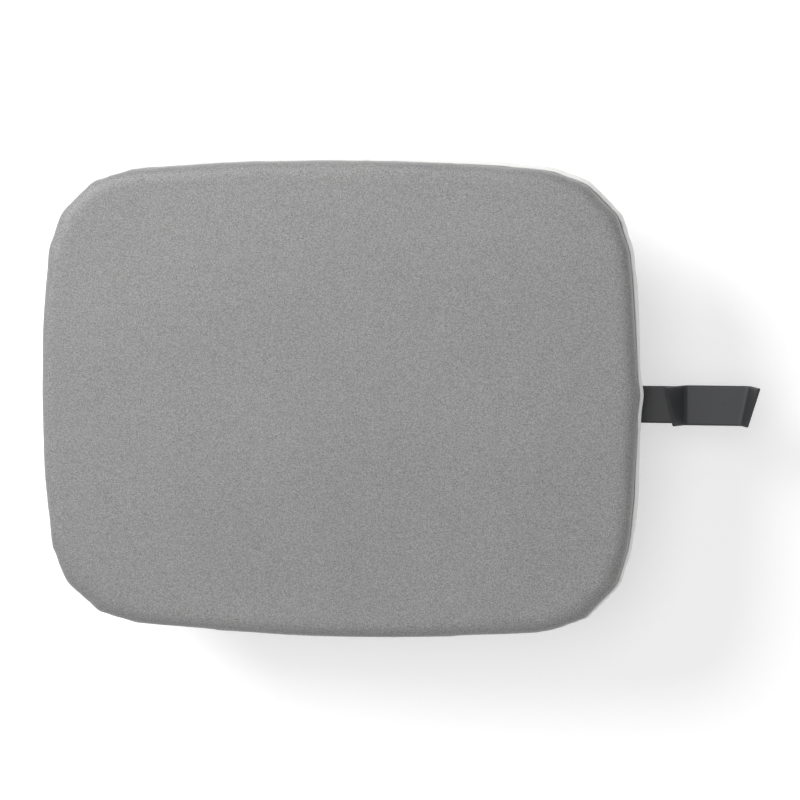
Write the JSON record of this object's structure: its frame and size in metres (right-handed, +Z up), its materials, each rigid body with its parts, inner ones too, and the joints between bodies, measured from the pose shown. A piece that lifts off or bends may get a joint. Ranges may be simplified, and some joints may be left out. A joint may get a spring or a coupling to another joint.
{
  "type": "tabletop ironing board",
  "caption": "Padded round-cornered tabletop ironing board in a silver-grey cover, on folding tube legs, with a dark slide-out cradle for the iron at one end.",
  "frame": {"origin": "on the table, in the middle of the footprint with the iron rest pulled out and the legs unfolded", "axes": "+Z up from the table; +X the way the iron rest slides out, along the board's long side; +Y to the rear"},
  "size_m": [0.7208, 0.4768, 0.165],
  "materials": {
    "metallised_cotton": "silver-grey metallised cotton, fine speckle",
    "white_binding": "white cotton binding",
    "felt": "needled felt over foam",
    "white_enamel": "white powder coat",
    "slate_plastic": "fine satin grain",
    "pale_plastic": "satin moulded",
    "grey_rubber": "matt",
    "plated_steel": "zinc plated"
  },
  "bodies": {
    "board": {"deck_panel": "white_enamel", "deck_rim": "white_enamel", "underlay_pad": "felt", "cover": "metallised_cotton", "cover_hem": "white_binding", "hem_elastic": "white_binding", "left_leg_rail": "white_enamel", "right_leg_rail": "white_enamel", "front_leg_clip": "pale_plastic", "rear_leg_clip": "pale_plastic", "front_guide_rail": "pale_plastic", "rear_guide_rail": "pale_plastic", "stop_pins": "plated_steel", "bracket_rivets": "plated_steel", "clip_screws": "plated_steel", "guide_screws": "plated_steel", "front_left_bracket": "white_enamel", "front_right_bracket": "white_enamel", "rear_left_bracket": "white_enamel", "rear_right_bracket": "white_enamel", "front_left_pivot_pin": "plated_steel", "front_right_pivot_pin": "plated_steel", "rear_left_pivot_pin": "plated_steel", "rear_right_pivot_pin": "plated_steel"},
    "front_leg": {"front_leg_frame": "white_enamel", "front_left_foot": "grey_rubber", "front_right_foot": "grey_rubber"},
    "rear_leg": {"rear_leg_frame": "white_enamel", "rear_left_foot": "grey_rubber", "rear_right_foot": "grey_rubber"},
    "iron_rest": {"rest_arm": "slate_plastic", "rest_cradle": "slate_plastic", "cradle_screws": "plated_steel"}
  },
  "joints": [
    {"name": "iron_rest_slide", "type": "slide", "parent": "board", "child": "iron_rest", "axis": [1, 0, 0], "range_m": [-0.119, 0]},
    {"name": "front_leg_fold", "type": "hinge", "parent": "board", "child": "front_leg", "pos_m": [-0.05908, -0.165, 0.118], "axis": [1, 0, 0], "range_deg": [0, 100]},
    {"name": "rear_leg_fold", "type": "hinge", "parent": "board", "child": "rear_leg", "pos_m": [-0.05908, 0.165, 0.118], "axis": [-1, 0, 0], "range_deg": [0, 100]}
  ]
}
